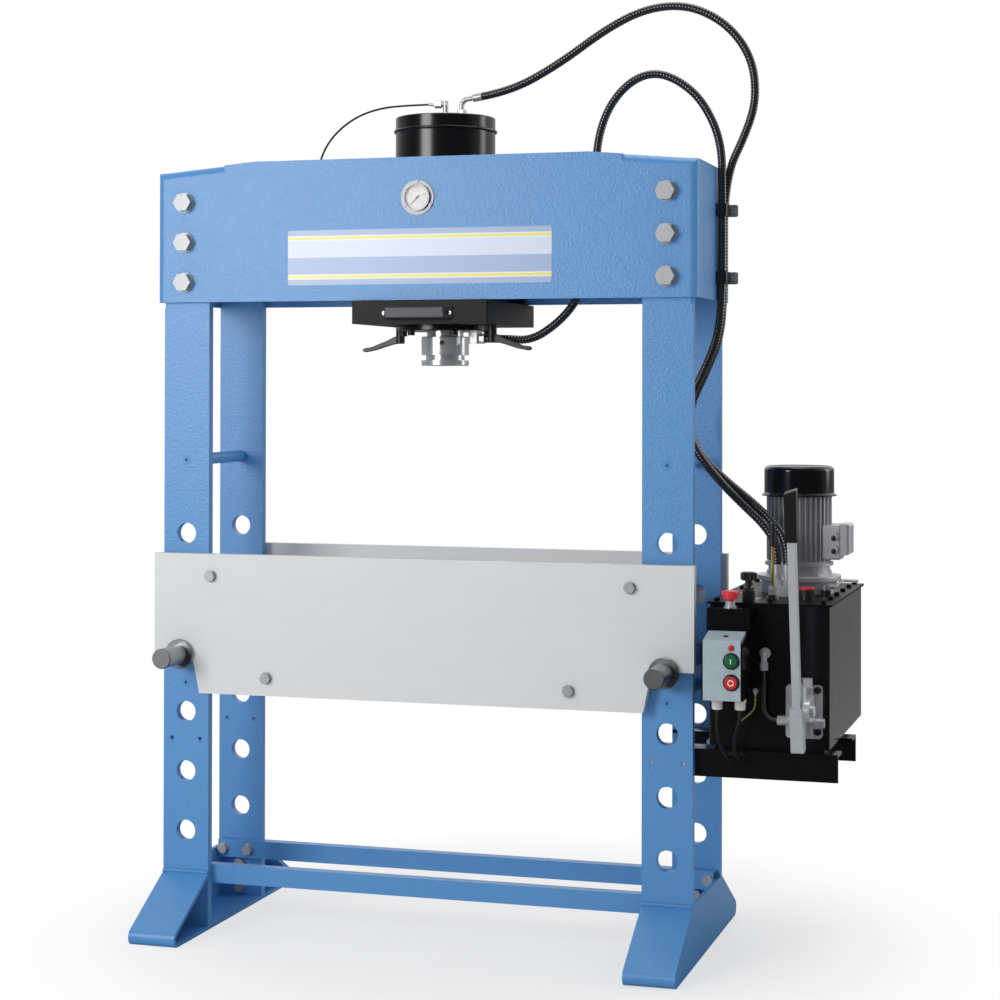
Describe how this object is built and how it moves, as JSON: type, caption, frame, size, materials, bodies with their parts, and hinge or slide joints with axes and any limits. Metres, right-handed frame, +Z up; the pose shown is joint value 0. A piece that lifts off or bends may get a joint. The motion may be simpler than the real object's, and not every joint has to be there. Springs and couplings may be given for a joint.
{
  "type": "hydraulic press",
  "caption": "Workshop hydraulic press with a plate frame, a rolling cylinder under a box beam, a table hung on pins, and an oil power unit at one side.",
  "frame": {"origin": "on the floor under the middle of the press's box, without its hoses and cables", "axes": "+Z up, +X to the right seen from the operator's side, +Y away from the operator"},
  "size_m": [1.717, 0.808, 2.3171],
  "materials": {
    "press_blue": "hammered",
    "table_grey": "satin",
    "gloss_black": "gloss",
    "satin_black": "satin",
    "zinc": "satin",
    "bright_steel": "satin",
    "dark_steel": "satin",
    "ram_chrome": "polished",
    "motor_silver": "satin",
    "cast_alloy": "satin",
    "lever_grey": "satin",
    "grip_black": "matte",
    "black_rubber": "matte",
    "dial_white": "satin",
    "gauge_glass": "polished",
    "pointer_black": "matte",
    "switch_grey": "satin",
    "button_green": "gloss",
    "button_red": "gloss",
    "lamp_red": "gloss",
    "gland_grey": "satin",
    "knob_black": "satin",
    "brass": "satin",
    "cable_black": "satin",
    "earth_green": "satin"
  },
  "bodies": {
    "frame": {"beam_front_shell": "press_blue", "beam_rear_shell": "press_blue", "uprights_front": "press_blue", "uprights_rear": "press_blue", "foot_left": "press_blue", "foot_right": "press_blue", "frame_bars": "press_blue", "frame_bolts": "zinc", "hose_clamps": "zinc", "clamp_bands": "black_rubber", "gauge_case": "zinc", "gauge_dial": "dial_white", "gauge_glass": "gauge_glass", "bracket_arms": "gloss_black", "tank_shell": "gloss_black", "tank_lid": "gloss_black", "motor_frame": "motor_silver", "fan_cover": "gloss_black", "gear_pump": "cast_alloy", "hand_pump_body": "cast_alloy", "pressure_tube": "zinc", "tank_fittings": "zinc", "valve_bodies": "knob_black", "control_boxes": "gloss_black", "switch_cover": "switch_grey", "pilot_lamp": "lamp_red", "cable_glands": "gland_grey", "hose_a": "black_rubber", "hose_b": "black_rubber", "gauge_line": "cable_black", "cable_left": "cable_black", "cable_right": "cable_black", "earth_wire": "earth_green"},
    "left_wheelset": {"wheelset_left": "bright_steel"},
    "right_wheelset": {"wheelset_right": "bright_steel"},
    "ram": {"piston_rod": "ram_chrome"},
    "left_clamp": {"clamp_lever_left": "knob_black"},
    "right_clamp": {"clamp_lever_right": "knob_black"},
    "pointer": {"gauge_pointer": "pointer_black"},
    "table": {"table_front_plate": "table_grey", "table_rear_plate": "table_grey", "table_bolts": "zinc"},
    "left_pin": {"pin_left": "bright_steel"},
    "right_pin": {"pin_right": "bright_steel"},
    "pump_lever": {"hand_pump_lever": "lever_grey", "lever_grip": "grip_black"},
    "pump_piston": {"hand_pump_piston": "bright_steel"},
    "valve_lever": {"rod_valve_lever": "brass"},
    "throttle_knob": {"star_knob": "knob_black"},
    "filler": {"filler_cap": "button_red"},
    "release": {"release_lever": "bright_steel"},
    "emergency_stop": {"estop_button": "button_red"},
    "start": {"start_button": "button_green"},
    "stop": {"stop_button": "button_red"},
    "rotor": {"motor_rotor": "bright_steel"},
    "carriage": {"carriage_box": "satin_black", "cylinder": "gloss_black", "cylinder_fittings": "zinc", "carriage_handle": "satin_black", "carriage_screws": "dark_steel"}
  },
  "joints": [
    {"name": "carriage_slide", "type": "slide", "parent": "frame", "child": "carriage", "axis": [1, 0, 0], "range_m": [-0.32, 0.32], "deforming": ["hose_a", "hose_b", "gauge_line"]},
    {"name": "left_rollers", "type": "hinge", "parent": "carriage", "child": "left_wheelset", "pos_m": [-0.3045, -0.0245, 1.686], "axis": [0, 1, 0], "range_deg": [-620, 620]},
    {"name": "right_rollers", "type": "hinge", "parent": "carriage", "child": "right_wheelset", "pos_m": [-0.0045, -0.0245, 1.686], "axis": [0, 1, 0], "range_deg": [-620, 620]},
    {"name": "ram_slide", "type": "slide", "parent": "carriage", "child": "ram", "axis": [0, 0, -1], "range_m": [0, 0.3]},
    {"name": "left_clamp_turn", "type": "hinge", "parent": "carriage", "child": "left_clamp", "pos_m": [-0.3035, 0.058, 1.5], "axis": [0, 0, 1], "range_deg": [-60, 60]},
    {"name": "right_clamp_turn", "type": "hinge", "parent": "carriage", "child": "right_clamp", "pos_m": [-0.0055, -0.107, 1.5], "axis": [0, 0, 1], "range_deg": [-80, 5]},
    {"name": "pointer_turn", "type": "hinge", "parent": "frame", "child": "pointer", "pos_m": [-0.1615, -0.222, 1.831], "axis": [0, 1, 0], "range_deg": [0, 270], "stiffness_Nm_per_rad": 0.002},
    {"name": "table_lift", "type": "slide", "parent": "frame", "child": "table", "axis": [0, 0, 1], "range_m": [0, 0.15]},
    {"name": "left_pin_pull", "type": "slide", "parent": "frame", "child": "left_pin", "axis": [0, -1, 0], "range_m": [0, 0.4]},
    {"name": "right_pin_pull", "type": "slide", "parent": "frame", "child": "right_pin", "axis": [0, -1, 0], "range_m": [0, 0.4]},
    {"name": "pump_lever_turn", "type": "hinge", "parent": "frame", "child": "pump_lever", "pos_m": [0.776, -0.265, 0.626], "axis": [1, 0, 0], "range_deg": [-25, 12]},
    {"name": "pump_piston_slide", "type": "slide", "parent": "frame", "child": "pump_piston", "axis": [0, 0, 1], "range_m": [-0.028, 0.014]},
    {"name": "valve_lever_turn", "type": "hinge", "parent": "frame", "child": "valve_lever", "pos_m": [0.6905, -0.096, 0.885], "axis": [0, 1, 0], "range_deg": [-30, 30]},
    {"name": "throttle_turn", "type": "hinge", "parent": "frame", "child": "throttle_knob", "pos_m": [0.6445, -0.16, 0.913], "axis": [0, 0, 1], "range_deg": [0, 720]},
    {"name": "filler_turn", "type": "hinge", "parent": "frame", "child": "filler", "pos_m": [0.7685, -0.073, 0.883], "axis": [0, 0, 1], "range_deg": [0, 720]},
    {"name": "release_turn", "type": "hinge", "parent": "frame", "child": "release", "pos_m": [0.7955, 0.059, 0.881], "axis": [0, 0, 1], "range_deg": [-70, 0]},
    {"name": "emergency_stop_press", "type": "slide", "parent": "frame", "child": "emergency_stop", "axis": [0, 0, -1], "range_m": [0, 0.005], "stiffness_N_per_m": 1500},
    {"name": "start_press", "type": "slide", "parent": "frame", "child": "start", "axis": [0, 1, 0], "range_m": [0, 0.004], "stiffness_N_per_m": 1000},
    {"name": "stop_press", "type": "slide", "parent": "frame", "child": "stop", "axis": [0, 1, 0], "range_m": [0, 0.004], "stiffness_N_per_m": 1000},
    {"name": "rotor_spin", "type": "hinge", "parent": "frame", "child": "rotor", "pos_m": [0.7185, 0.133, 1], "axis": [0, 0, 1], "continuous": true}
  ],
  "couplings": [
    {"joint": "left_rollers", "follows": "carriage_slide", "rad_per_m": 33.389},
    {"joint": "right_rollers", "follows": "carriage_slide", "rad_per_m": 33.389},
    {"joint": "pump_piston_slide", "follows": "pump_lever_turn", "m_per_rad": 0.062}
  ]
}
